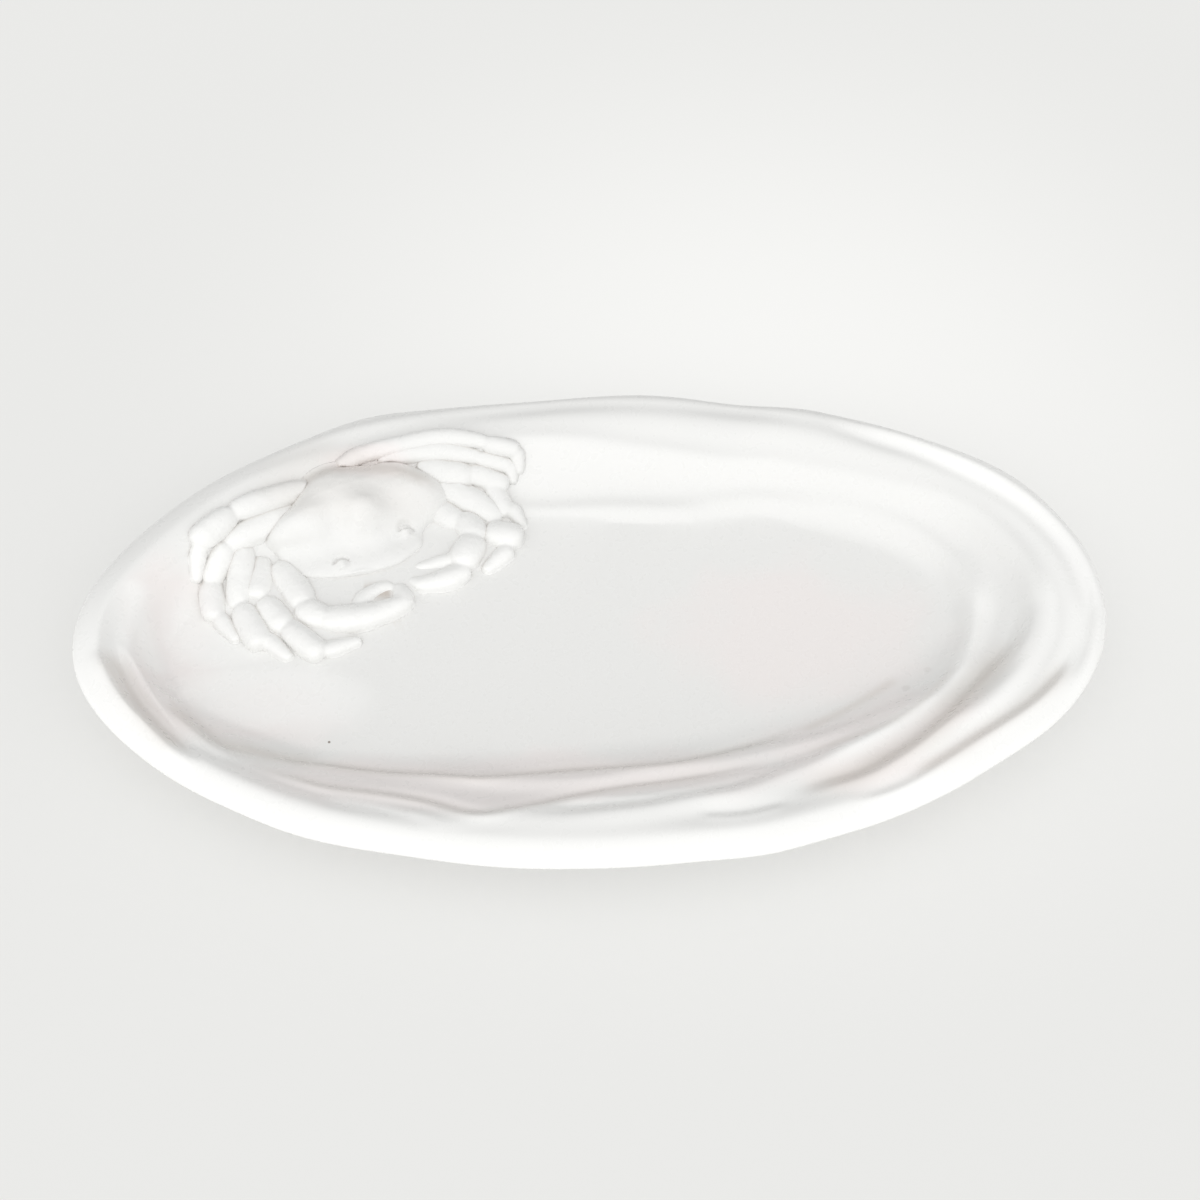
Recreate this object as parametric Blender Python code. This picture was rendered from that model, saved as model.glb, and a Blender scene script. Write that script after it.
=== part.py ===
"""Oval serving platter in white glazed earthenware, with a crab in high relief.

Metres, +Z up.  The platter stands on its foot ring at z = 0, centred on the
origin, with its long axis along X and its near side towards -Y.  The dish, the
foot ring and each pellet of the crab are separate pieces of clay, pressed on
with slip before firing.  Left and right are as seen from the near side.
"""
import bisect
import math

import bmesh
import bpy
from mathutils import Vector
from mathutils.bvhtree import BVHTree

# Overall size of the dish
LENGTH = 0.500
WIDTH = 0.280
HEIGHT = 0.040

# Body of the dish
FOOT_HEIGHT = 0.006
FLOOR_THICKNESS = 0.0078
RIPPLE_SPREAD = 0.0058
RIPPLE_FADE = 0.08
UNDER_BOW = 1.3

# Rolled lip, from its crest over the nose to the underside: inset from the rim, drop from the top
LIP_PROFILE = (
    (0.0128, 0.0), (0.0100, 0.0005), (0.0066, 0.0014), (0.0034, 0.0025), (0.0010, 0.0040),
    (0.0, 0.0058), (0.0008, 0.0082), (0.0034, 0.0108),
)

# Foot ring, luted under the floor
FOOT_MARGIN = 0.005
FOOT_LAND = 0.006
FOOT_FLARE = 0.0015
FOOT_ROUNDING = 0.0012

# Slip joint between two pieces
JOINT_GAP = 0.0003

# Finishes: colour and roughness
WHITE_GLAZE = ((0.82, 0.81, 0.79), 0.12)
BARE_BISCUIT = ((0.72, 0.66, 0.58), 0.85)

# Fineness of the shapes
SEGMENTS = 88
FLOOR_RINGS = 2
WALL_RINGS = 19
UNDER_RINGS = 3
FOOT_SEGMENTS = 56

# The hand-formed outline: angle, swell and spread in degrees of each bulge
OUTLINE_BULGES = (
    (33, 0.0040, 11), (63, 0.0015, 4), (71, -0.0036, 6), (95, -0.0030, 8),
    (116, 0.0060, 7), (155, -0.0030, 13), (190, 0.0028, 14), (236, 0.0013, 6),
    (250, -0.0015, 5), (287, 0.0022, 5), (318, -0.0020, 8), (2, -0.0012, 12),
)

# Dips of the lip's top edge, in the same form
LIP_DIPS = (
    (75, -0.0015, 14), (109, -0.0027, 14), (150, -0.0012, 18), (252, -0.0014, 9),
    (300, -0.0015, 10), (345, -0.0010, 15),
)

# Width of the wall in plan, from the rim to the floor's edge: angle, width
WALL_WIDTHS = (
    (0, 0.082), (30, 0.070), (60, 0.064), (80, 0.071), (100, 0.065),
    (130, 0.057), (165, 0.047), (180, 0.045), (200, 0.050), (225, 0.058), (240, 0.067),
    (250, 0.072), (275, 0.079), (305, 0.083), (330, 0.086), (360, 0.082),
)

# Finger-drawn ripples on the wall: angle, inset from the rim and height.
# A ripple fades out at both ends; angles run on past 360.
INNER_RIPPLE = (
    (232, 0.044, 0.0), (246, 0.047, 0.0026), (257, 0.050, 0.0044), (267, 0.052, 0.0050),
    (276, 0.055, 0.0052), (288, 0.058, 0.0052), (305, 0.0565, 0.0052), (318, 0.056, 0.0040),
    (330, 0.060, 0.0),
)
MIDDLE_RIPPLE = (
    (250, 0.024, 0.0), (264, 0.025, 0.0028), (273, 0.027, 0.0044), (284, 0.032, 0.0060),
    (295, 0.0385, 0.0058), (307, 0.0435, 0.0054), (320, 0.0490, 0.0052), (332, 0.0570, 0.0050),
    (345, 0.0630, 0.0050), (358, 0.0640, 0.0050), (370, 0.0610, 0.0048), (385, 0.0560, 0.0040),
    (410, 0.050, 0.0030),
    (425, 0.054, 0.0032), (440, 0.064, 0.0034), (455, 0.061, 0.0032), (470, 0.056, 0.0020),
    (485, 0.050, 0.0),
)
OUTER_RIPPLE = (
    (298, 0.022, 0.0), (308, 0.0245, 0.0036), (320, 0.0285, 0.0044), (332, 0.0320, 0.0048),
    (345, 0.0345, 0.0046), (358, 0.0345, 0.0044), (372, 0.0325, 0.0036), (390, 0.033, 0.0030),
    (405, 0.036, 0.0028), (420, 0.037, 0.0030), (440, 0.037, 0.0030), (457, 0.028, 0.0030),
    (470, 0.026, 0.0020), (490, 0.025, 0.0),
)
LEFT_RIDGE = (
    (168, 0.0265, 0.0), (178, 0.0280, 0.0032), (188, 0.0290, 0.0038), (198, 0.0290, 0.0038),
    (206, 0.0260, 0.0032), (213, 0.0225, 0.0018), (220, 0.0200, 0.0),
)
LEFT_GROOVE = (
    (166, 0.0180, 0.0), (176, 0.0195, -0.0030), (186, 0.0210, -0.0044), (196, 0.0215, -0.0046),
    (205, 0.0205, -0.0042), (216, 0.0215, -0.0034), (228, 0.0235, -0.0032), (245, 0.0250, -0.0026),
    (260, 0.0270, 0.0),
)
RIGHT_GROOVE = (
    (274, 0.021, 0.0), (285, 0.021, -0.0018), (300, 0.021, -0.0020), (320, 0.020, -0.0024),
    (332, 0.0195, -0.0020), (343, 0.0195, -0.0008), (352, 0.019, 0.0),
)
RIPPLES = (INNER_RIPPLE, MIDDLE_RIPPLE, OUTER_RIPPLE, LEFT_RIDGE, LEFT_GROOVE, RIGHT_GROOVE)

# Place of the crab's middle on the dish, and the turn of its width from X
CRAB_ANGLE = 126
CRAB_INSET = 0.049
CRAB_TURN = 20
CRAB_SCALE = 1.0

# Shell outline about its own middle: angle, reach.  0 is to the right, 90 to the back.
SHELL_MIDDLE = (-0.004, 0.001)
SHELL_REACH = (
    (0, 0.051), (12, 0.048), (28, 0.038), (42, 0.029), (60, 0.025), (85, 0.0245), (116, 0.0250),
    (140, 0.0255), (158, 0.0275), (170, 0.035), (181, 0.044), (190, 0.0385), (205, 0.029), (220, 0.022),
    (240, 0.019), (280, 0.0213), (310, 0.0256), (328, 0.033), (348, 0.048), (360, 0.051),
)
SHELL_HEIGHT = 0.0138
SHELL_TILT = 0.40
SHELL_FRONT = 0.018
SHELL_ROOT = 0.003
SHELL_FULLNESS = 0.95
SHELL_SEGMENTS = 36
SHELL_STEPS = (0, 16, 33, 48, 61, 72, 81, 87)

# Swellings and hollows of the shell: across, back, height, spread
SHELL_LOBES = (
    (-0.028, -0.003, 0.0035, 0.013), (0.004, -0.010, 0.0070, 0.0095), (0.034, 0.001, 0.0035, 0.012),
    (-0.009, -0.008, -0.0050, 0.0055), (0.0195, -0.006, -0.0050, 0.0055), (0.002, 0.008, 0.0016, 0.011),
)

# How the pellets lie: depth and lift of the centre line as shares of the width, bluntness of
# the ends, how far they run past the joint and how late; the face is pressed flatter
PELLET_DEPTH = 0.75
FACE_DEPTH = 0.32
PELLET_LIFT = 0.16
PELLET_BLUNTNESS = 5.0
PELLET_OVERRUN = 0.40
PELLET_OVERRUN_POWER = 3
PELLET_SIDES = 10
PELLET_STEPS = 7
PATH_STEP = 0.02

# Pellets of the crab in the order they are pressed on; each row of a path is
# a place across and back from the crab's middle, and the width there.
FACE = {
    "mouth": (
        (-0.036, -0.0145, 0.018), (-0.012, -0.0225, 0.021), (0.003, -0.0260, 0.021),
        (0.017, -0.0225, 0.016),
    ),
}
LEFT_CLAW = {
    "left_claw_arm": ((-0.0430, -0.0160, 0.0140), (-0.0405, -0.0265, 0.0155), (-0.0395, -0.0365, 0.0155)),
    "left_claw_wrist": ((-0.0385, -0.0445, 0.0150), (-0.035, -0.0490, 0.0150)),
    "left_claw_palm": (
        (-0.0295, -0.0530, 0.0155), (-0.0195, -0.0565, 0.0155), (-0.0065, -0.0590, 0.0120),
        (0.0010, -0.0592, 0.0118), (0.0070, -0.0555, 0.0105), (0.0080, -0.0490, 0.0085),
    ),
    "left_claw_finger": (
        (-0.0130, -0.0485, 0.0095), (-0.0065, -0.0440, 0.0090), (0.0005, -0.0430, 0.0075),
        (0.0045, -0.0450, 0.0050),
    ),
}
RIGHT_CLAW = {
    "right_claw_shoulder": ((0.0435, -0.0095, 0.0145), (0.0475, -0.0165, 0.0145)),
    "right_claw_arm": ((0.0535, -0.0230, 0.0155), (0.0545, -0.0295, 0.0155)),
    "right_claw_wrist": ((0.0490, -0.0375, 0.0165), (0.0445, -0.0420, 0.0165)),
    "right_claw_palm": (
        (0.0390, -0.0500, 0.0120), (0.0300, -0.0515, 0.0120), (0.0210, -0.0500, 0.0090),
        (0.0155, -0.0455, 0.0050),
    ),
    "right_claw_finger": ((0.0385, -0.0400, 0.0085), (0.0300, -0.0397, 0.0075), (0.0210, -0.0380, 0.0045)),
}
RIGHT_LEGS = {
    "right_leg_1_upper": (
        (0.005, 0.0250, 0.0085), (0.015, 0.0270, 0.0088), (0.0355, 0.0272, 0.0088),
        (0.0555, 0.0222, 0.0088), (0.0745, 0.0118, 0.0088),
    ),
    "right_leg_1_lower": ((0.0785, 0.0085, 0.009), (0.0880, 0.0028, 0.009)),
    "right_leg_1_tip": ((0.0897, 0.0, 0.007), (0.088, -0.0060, 0.004)),
    "right_leg_2_upper": (
        (0.0255, 0.0225, 0.009), (0.0385, 0.0210, 0.0095), (0.051, 0.0174, 0.0095),
        (0.0685, 0.0082, 0.009),
    ),
    "right_leg_2_lower": ((0.0725, 0.0052, 0.008), (0.0825, -0.0013, 0.008)),
    "right_leg_2_tip": ((0.0845, -0.0038, 0.0065), (0.0835, -0.0088, 0.0035)),
    "right_leg_3_upper": ((0.0440, 0.0115, 0.0135), (0.060, 0.0025, 0.015)),
    "right_leg_3_knee": ((0.067, 0.0, 0.0115), (0.077, -0.0078, 0.0105)),
    "right_leg_3_lower": ((0.0725, -0.0107, 0.011), (0.074, -0.0218, 0.0105)),
    "right_leg_3_tip": ((0.078, -0.024, 0.008), (0.079, -0.0325, 0.0045)),
    "right_leg_4_upper": ((0.0480, 0.0020, 0.0135), (0.0605, -0.0105, 0.015), (0.067, -0.0215, 0.0135)),
    "right_leg_4_lower": ((0.065, -0.0345, 0.015), (0.071, -0.038, 0.015)),
    "right_leg_4_tip": ((0.0645, -0.0465, 0.010), (0.0535, -0.0515, 0.006)),
}
LEFT_LEGS = {
    "left_leg_1_upper": ((-0.0200, 0.0190, 0.0120), (-0.0375, 0.0190, 0.013), (-0.0525, 0.0175, 0.013)),
    "left_leg_1_lower": ((-0.062, 0.0146, 0.0135), (-0.0757, 0.0086, 0.0145)),
    "left_leg_1_tip": ((-0.0798, 0.003, 0.009), (-0.0843, -0.0065, 0.005)),
    "left_leg_2_upper": ((-0.0300, 0.0110, 0.0135), (-0.0465, 0.009, 0.0145), (-0.0605, 0.006, 0.013)),
    "left_leg_2_knee": ((-0.0683, 0.002, 0.0125), (-0.076, -0.006, 0.0125)),
    "left_leg_2_lower": ((-0.079, -0.0128, 0.0125), (-0.082, -0.0255, 0.0125)),
    "left_leg_2_tip": ((-0.0797, -0.0322, 0.009), (-0.0763, -0.0445, 0.005)),
    "left_leg_3_upper": ((-0.0590, -0.0005, 0.0135), (-0.0687, -0.0238, 0.0135)),
    "left_leg_3_lower": ((-0.068, -0.0345, 0.0145), (-0.0665, -0.050, 0.0145)),
    "left_leg_3_tip": ((-0.061, -0.054, 0.010), (-0.056, -0.0645, 0.005)),
    "left_leg_4_upper": ((-0.0520, -0.0085, 0.0130), (-0.0580, -0.0225, 0.0140)),
    "left_leg_4_knee": ((-0.056, -0.035, 0.0145), (-0.053, -0.045, 0.0145)),
    "left_leg_4_lower": ((-0.0495, -0.0525, 0.0135), (-0.0425, -0.067, 0.0135)),
    "left_leg_4_tip": ((-0.0355, -0.0688, 0.009), (-0.022, -0.069, 0.005)),
}

# Eyes: across, back, height of the middle over the floor, diameter
EYES = {
    "left_eye": (-0.0148, -0.0255, 0.0055, 0.0085),
    "right_eye": (0.0226, -0.0188, 0.0060, 0.0085),
}

# Heights that follow from the sizes above
BASE_Z = FOOT_HEIGHT + JOINT_GAP
FLOOR_TOP = BASE_Z + FLOOR_THICKNESS


def clear_scene():
    for item in list(bpy.data.objects):
        bpy.data.objects.remove(item, do_unlink=True)


def ease(x):
    x = min(max(x, 0.0), 1.0)
    return x * x * (3.0 - 2.0 * x)


def swell(bulges, angle):
    """Sum of the bulges at an angle, each fading with its spread the short way round."""
    total = 0.0
    for at, size, spread in bulges:
        apart = (angle - at + 180.0) % 360.0 - 180.0
        total += size * math.exp(-(apart / spread) ** 2)
    return total


def between(stations, angle):
    """Values at an angle, eased from one hand-set station to the next."""
    i = bisect.bisect_right([row[0] for row in stations], angle) - 1
    low, high = stations[i], stations[i + 1]
    share = ease((angle - low[0]) / (high[0] - low[0]))
    return [a + (b - a) * share for a, b in zip(low[1:], high[1:])]


def ripple_height(angle, inset):
    total = 0.0
    for ripple in RIPPLES:
        for turned in (angle, angle + 360):
            if ripple[0][0] <= turned < ripple[-1][0]:
                crest, height = between(ripple, turned)
                total += height * math.exp(-((inset - crest) / RIPPLE_SPREAD) ** 2)
    return total


def outline():
    """Plan points of the rim, centred and scaled to the overall size exactly."""
    points = []
    for i in range(SEGMENTS):
        angle = 360.0 * i / SEGMENTS
        t = math.radians(angle)
        bulge = swell(OUTLINE_BULGES, angle)
        points.append(Vector(((LENGTH / 2 + bulge) * math.cos(t), (WIDTH / 2 + bulge) * math.sin(t))))
    low = Vector((min(p.x for p in points), min(p.y for p in points)))
    high = Vector((max(p.x for p in points), max(p.y for p in points)))
    middle = (low + high) / 2
    stretch = Vector((LENGTH / (high.x - low.x), WIDTH / (high.y - low.y)))
    return [Vector(((p.x - middle.x) * stretch.x, (p.y - middle.y) * stretch.y)) for p in points]


def section(angle):
    """Inset and height of each ring from the floor's edge, over the lip, to the base's edge."""
    width = between(WALL_WIDTHS, angle)[0]
    top = HEIGHT + swell(LIP_DIPS, angle)
    lip = [(inset, top - drop) for inset, drop in LIP_PROFILE]
    lip_in, wall_top = lip[0]
    lip_out, lip_low = lip[-1]
    rows = []
    for j in range(WALL_RINGS):
        s = j / WALL_RINGS
        inset = width + (lip_in - width) * s
        fade = ease(s / RIPPLE_FADE) * ease((1 - s) / RIPPLE_FADE)
        rise = (wall_top - FLOOR_TOP) * ease(s) + fade * ripple_height(angle, inset)
        rows.append((inset, FLOOR_TOP + rise))
    rows += lip
    for j in range(1, UNDER_RINGS + 1):
        s = 1 - j / UNDER_RINGS
        rows.append((width + (lip_out - width) * s, BASE_Z + (lip_low - BASE_Z) * s ** UNDER_BOW))
    return rows


def sections():
    """Section at each segment, with what stands over the floor scaled to the overall height."""
    raw = [section(360.0 * i / SEGMENTS) for i in range(SEGMENTS)]
    top = max(z for rows in raw for _, z in rows)
    stretch = (HEIGHT - FLOOR_TOP) / (top - FLOOR_TOP)
    scaled = []
    for rows in raw:
        over = [max(z - FLOOR_TOP, 0.0) for _, z in rows]
        scaled.append([(inset, z + (stretch - 1.0) * up) for (inset, z), up in zip(rows, over)])
    return scaled


def loft(name, rings, capped):
    """Mesh through rings of points; capped ends, or else the last ring joins the first."""
    bm = bmesh.new()
    loops = [[bm.verts.new(p) for p in ring] for ring in rings]
    pairs = list(zip(loops, loops[1:]))
    if capped:
        bm.faces.new(loops[0])
        bm.faces.new(loops[-1])
    else:
        pairs.append((loops[-1], loops[0]))
    for a, b in pairs:
        for i in range(len(a)):
            k = (i + 1) % len(a)
            bm.faces.new((a[i], a[k], b[k], b[i]))
    bm.normal_update()
    bmesh.ops.recalc_face_normals(bm, faces=bm.faces)
    return finished_mesh(name, bm)


def finished_mesh(name, bm):
    mesh = bpy.data.meshes.new(name)
    bm.to_mesh(mesh)
    bm.free()
    mesh.shade_smooth()
    return mesh


def dish_mesh():
    shares = [j / (FLOOR_RINGS + 1) for j in range(1, FLOOR_RINGS + 1)]
    columns = []
    for i, (rim, rows) in enumerate(zip(outline(), sections())):
        t = 2 * math.pi * i / SEGMENTS
        outward = Vector((math.cos(t), math.sin(t)))
        wall = [Vector((*(rim - inset * outward), z)) for inset, z in rows]
        floor = [Vector((wall[0].x * share, wall[0].y * share, FLOOR_TOP)) for share in shares]
        columns.append(floor + wall)
    return loft("platter_body", list(zip(*columns)), capped=True)


def foot_mesh():
    top = BASE_Z - JOINT_GAP
    profile = (
        (-FOOT_FLARE, top), (0.0, FOOT_ROUNDING), (FOOT_ROUNDING, 0.0),
        (FOOT_LAND - FOOT_ROUNDING, 0.0), (FOOT_LAND, FOOT_ROUNDING), (FOOT_LAND + FOOT_FLARE, top),
    )
    setback = FOOT_MARGIN + max(width for _, width in WALL_WIDTHS)
    rings = []
    for inset, z in profile:
        half_x = LENGTH / 2 - setback - inset
        half_y = WIDTH / 2 - setback - inset
        turns = [2 * math.pi * i / FOOT_SEGMENTS for i in range(FOOT_SEGMENTS)]
        rings.append([Vector((half_x * math.cos(t), half_y * math.sin(t), z)) for t in turns])
    return loft("foot_ring", rings, capped=False)


class Bench:
    """The dish's upper skin, and the crab's own plan axes on it."""

    def __init__(self, dish):
        bm = bmesh.new()
        bm.from_mesh(dish)
        self.skin = BVHTree.FromBMesh(bm)
        bm.free()
        t = math.radians(CRAB_ANGLE)
        half = Vector((LENGTH / 2 - CRAB_INSET, WIDTH / 2 - CRAB_INSET))
        self.middle = Vector((half.x * math.cos(t), half.y * math.sin(t)))
        turn = math.radians(CRAB_TURN)
        self.across = Vector((math.cos(turn), math.sin(turn)))
        self.back = Vector((-math.sin(turn), math.cos(turn)))

    def plan(self, across, back):
        return self.middle + CRAB_SCALE * (across * self.across + back * self.back)

    def land(self, across, back):
        """Point and upward normal of the skin under a place on the crab."""
        p = self.plan(across, back)
        point, normal, _, _ = self.skin.ray_cast(Vector((*p, 1.0)), Vector((0, 0, -1)))
        return point, normal


def shell_mesh(bench):
    """The domed shell: steep sides, a lobed top and a root sunk in the dish."""
    rings = []
    for step, rise in enumerate((0,) + SHELL_STEPS):
        ring = []
        for i in range(SHELL_SEGMENTS):
            angle = 360.0 * i / SHELL_SEGMENTS
            reach = between(SHELL_REACH, angle)[0] * math.cos(math.radians(rise)) ** SHELL_FULLNESS
            across = SHELL_MIDDLE[0] + reach * math.cos(math.radians(angle))
            back = SHELL_MIDDLE[1] + reach * math.sin(math.radians(angle))
            point, _ = bench.land(across, back)
            if step == 0:
                point.z -= CRAB_SCALE * SHELL_ROOT
            else:
                point.z = shell_height(across, back, rise)
            ring.append(point)
        rings.append(ring)
    return loft("shell", rings, capped=True)


def shell_height(across, back, rise):
    """Height of the shell's top over a place, for a ring at a rise of 0 to 90 degrees."""
    up = math.sin(math.radians(rise))
    height = SHELL_HEIGHT * up ** SHELL_FULLNESS + SHELL_TILT * (back + SHELL_FRONT)
    for at, deep, size, spread in SHELL_LOBES:
        apart = math.hypot(across - at, back - deep)
        height += size * up * math.exp(-(apart / spread) ** 2)
    return FLOOR_TOP + CRAB_SCALE * height


def along(path, share):
    """Row at a share of a path, on a smooth curve through the path's own rows."""
    share = min(max(share, 0.0), 1.0)
    last = len(path) - 1
    i = min(int(share * last), last - 1)
    f = share * last - i
    rows = [Vector(path[min(max(k, 0), last)]) for k in (i - 1, i, i + 1, i + 2)]
    if i == 0:
        rows[0] = 2 * rows[1] - rows[2]
    if i == last - 1:
        rows[3] = 2 * rows[2] - rows[1]
    a, b, c, d = rows
    return b + 0.5 * f * (c - a + f * (2 * a - 5 * b + 4 * c - d + f * (3 * (b - c) + d - a)))


def pellet_mesh(name, path, bench, depth=PELLET_DEPTH):
    """A rolled pellet of clay laid along its path, half sunk in what is under it."""
    bm = bmesh.new()
    steps = PELLET_STEPS + 2 * (len(path) - 2)
    bmesh.ops.create_uvsphere(bm, u_segments=PELLET_SIDES, v_segments=steps, radius=1.0)
    blunt = 2.0 / PELLET_BLUNTNESS
    landed = [bench.land(row[0], row[1]) for row in path]
    up = sum((normal for _, normal in landed), Vector()).normalized()
    spots = [(*point, row[2]) for (point, _), row in zip(landed, path)]
    for vert in bm.verts:
        sine = min(max(vert.co.z, -1.0), 1.0)
        reach = math.copysign(abs(sine) ** blunt, sine)
        girth = (1.0 - sine * sine) ** 0.5
        turn = math.atan2(vert.co.y, vert.co.x)
        share = (reach + 1.0) / 2.0
        spot = along(spots, share)
        ahead = (along(spots, share + PATH_STEP) - along(spots, share - PATH_STEP)).to_3d().normalized()
        side = up.cross(ahead).normalized()
        lift = ahead.cross(side)
        width = CRAB_SCALE * spot[3]
        beyond = PELLET_OVERRUN * width * reach * abs(reach) ** PELLET_OVERRUN_POWER
        out = 0.5 * width * girth ** blunt
        rise = width * PELLET_LIFT + out * depth * math.sin(turn)
        vert.co = spot.to_3d() + ahead * beyond + side * out * math.cos(turn) + lift * rise
    return finished_mesh(name, bm)


def eye_mesh(name, across, back, height, diameter, bench):
    bm = bmesh.new()
    radius = CRAB_SCALE * diameter / 2
    bmesh.ops.create_uvsphere(bm, u_segments=PELLET_SIDES, v_segments=PELLET_STEPS, radius=radius)
    place = bench.plan(across, back)
    bmesh.ops.translate(bm, verts=bm.verts, vec=(place.x, place.y, FLOOR_TOP + CRAB_SCALE * height))
    return finished_mesh(name, bm)


def finish(name, colour, roughness):
    material = bpy.data.materials.new(name)
    material.use_nodes = True
    shader = material.node_tree.nodes["Principled BSDF"]
    shader.inputs["Base Color"].default_value = (*colour, 1.0)
    shader.inputs["Roughness"].default_value = roughness
    shader.inputs["Metallic"].default_value = 0.0
    return material


def new_collection(name):
    collection = bpy.data.collections.new(name)
    bpy.context.scene.collection.children.link(collection)
    return collection


def add_object(collection, name, mesh):
    item = bpy.data.objects.new(name, mesh)
    collection.objects.link(item)
    return item


def add_cutter(collection, name, mesh):
    cutter = add_object(collection, name, mesh)
    cutter.hide_render = True
    cutter.display_type = "WIRE"
    return cutter


def seat_cutter(collection, dish):
    """The dish itself, raised by the slip joint, so that a pellet follows its skin."""
    cutter = add_cutter(collection, "seat_cutter", dish)
    cutter.location.z = JOINT_GAP
    return cutter


def swollen_cutter(collection, mesh):
    """A laid piece, swollen by the slip joint, to be taken out of the next ones."""
    cutter = add_cutter(collection, mesh.name + "_cutter", mesh)
    grow = cutter.modifiers.new("slip_joint", "DISPLACE")
    grow.strength = JOINT_GAP
    grow.mid_level = 0.0
    return cutter


def meets(a, b):
    """Whether the boxes of two pieces come within a slip joint of each other."""
    for axis in range(3):
        a_side = [v.co[axis] for v in a.vertices]
        b_side = [v.co[axis] for v in b.vertices]
        if min(a_side) > max(b_side) + JOINT_GAP or min(b_side) > max(a_side) + JOINT_GAP:
            return False
    return True


def largest_body(mesh):
    """Drop the crumbs of clay that a cut leaves beside a piece."""
    bm = bmesh.new()
    bm.from_mesh(mesh)
    unseen = set(bm.verts)
    bodies = []
    while unseen:
        body = []
        queue = [unseen.pop()]
        while queue:
            vert = queue.pop()
            body.append(vert)
            near = [edge.other_vert(vert) for edge in vert.link_edges]
            fresh = [other for other in near if other in unseen]
            unseen.difference_update(fresh)
            queue.extend(fresh)
        bodies.append(body)
    bodies.sort(key=len)
    for crumbs in bodies[:-1]:
        bmesh.ops.delete(bm, geom=crumbs, context="VERTS")
    bm.to_mesh(mesh)
    bm.free()


def press_on(mesh, laid, cutters, seat):
    """Trim a piece by the dish and by the pieces already laid, as pressed clay gives way."""
    item = add_object(cutters, mesh.name, mesh)
    for other, cutter in [(None, seat)] + laid:
        if other is None or meets(mesh, other):
            trim = item.modifiers.new(cutter.name, "BOOLEAN")
            trim.operation = "DIFFERENCE"
            trim.object = cutter
    bpy.context.view_layer.update()
    shaped = item.evaluated_get(bpy.context.evaluated_depsgraph_get())
    result = bpy.data.meshes.new_from_object(shaped)
    bpy.data.objects.remove(item)
    largest_body(result)
    return result


def main():
    clear_scene()
    platter = new_collection("oval_crab_platter")
    cutters = new_collection("cutters")
    white = finish("white_glaze", *WHITE_GLAZE)
    biscuit = finish("bare_biscuit", *BARE_BISCUIT)

    dish = dish_mesh()
    dish.materials.append(white)
    add_object(platter, "platter_body", dish)
    foot = foot_mesh()
    foot.materials.append(biscuit)
    add_object(platter, "foot_ring", foot)

    bench = Bench(dish)
    seat = seat_cutter(cutters, dish)
    raw = [shell_mesh(bench)]
    raw += [pellet_mesh(name, path, bench, FACE_DEPTH) for name, path in FACE.items()]
    raw += [eye_mesh(name, *sizes, bench) for name, sizes in EYES.items()]
    for limb in (LEFT_CLAW, RIGHT_CLAW, RIGHT_LEGS, LEFT_LEGS):
        raw += [pellet_mesh(name, path, bench) for name, path in limb.items()]
    laid = []
    for mesh in raw:
        pressed = press_on(mesh, laid, cutters, seat)
        pressed.materials.clear()
        pressed.materials.append(white)
        pressed.shade_smooth()
        add_object(platter, mesh.name, pressed)
        laid.append((mesh, swollen_cutter(cutters, mesh)))


main()
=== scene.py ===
"""Looks of a hand-formed oval platter in white glazed earthenware, with a crab in high relief.

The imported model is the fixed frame, and each piece here takes its size and place from it.
The glaze runs over the joints of the clay, so a limb of the crab is one skin over its own
pellets, with soft creases, and flares out where it meets the dish.  Metres, +Z up.
"""

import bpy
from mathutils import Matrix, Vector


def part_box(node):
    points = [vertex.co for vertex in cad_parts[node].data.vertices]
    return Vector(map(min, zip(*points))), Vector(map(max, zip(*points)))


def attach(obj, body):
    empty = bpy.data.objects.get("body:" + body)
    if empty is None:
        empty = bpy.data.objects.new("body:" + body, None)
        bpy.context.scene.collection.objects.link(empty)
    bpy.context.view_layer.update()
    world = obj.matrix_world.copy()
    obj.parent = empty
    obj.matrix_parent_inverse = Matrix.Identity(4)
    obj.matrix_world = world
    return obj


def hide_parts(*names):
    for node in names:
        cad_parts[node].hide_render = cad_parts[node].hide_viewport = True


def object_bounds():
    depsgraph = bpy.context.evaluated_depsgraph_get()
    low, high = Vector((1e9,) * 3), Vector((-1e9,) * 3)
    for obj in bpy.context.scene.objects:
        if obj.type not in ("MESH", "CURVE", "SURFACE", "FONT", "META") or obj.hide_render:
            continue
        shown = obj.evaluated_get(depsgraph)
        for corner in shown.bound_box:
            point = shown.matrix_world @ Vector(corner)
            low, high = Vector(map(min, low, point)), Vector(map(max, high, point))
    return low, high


bl_info = {
    "name": "Oval crab platter",
    "version": (1, 0, 0),
    "blender": (4, 5, 0),
    "location": "View3D > Sidebar > Platter",
    "description": "Builds the glazed surfaces of an oval serving platter and its stage",
    "category": "Object",
}

import math

import bpy
import numpy as np
from bpy.props import FloatProperty, FloatVectorProperty, IntProperty, PointerProperty
from mathutils import Matrix, Vector, noise
from mathutils.bvhtree import BVHTree
from mathutils.kdtree import KDTree

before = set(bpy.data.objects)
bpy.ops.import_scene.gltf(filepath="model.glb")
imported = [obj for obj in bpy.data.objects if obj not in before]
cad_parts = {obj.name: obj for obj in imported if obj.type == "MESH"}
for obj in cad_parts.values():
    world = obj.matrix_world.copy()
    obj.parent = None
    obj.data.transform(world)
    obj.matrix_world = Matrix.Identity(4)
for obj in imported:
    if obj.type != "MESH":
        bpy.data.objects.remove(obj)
CAD_BOX = [list(corner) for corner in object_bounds()]
BODY = "root"
MM = 0.001

# Vertices of a node that lie nearer than this are one
WELD = 0.01 * MM
# A height above the whole part
ABOVE = 0.2

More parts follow.
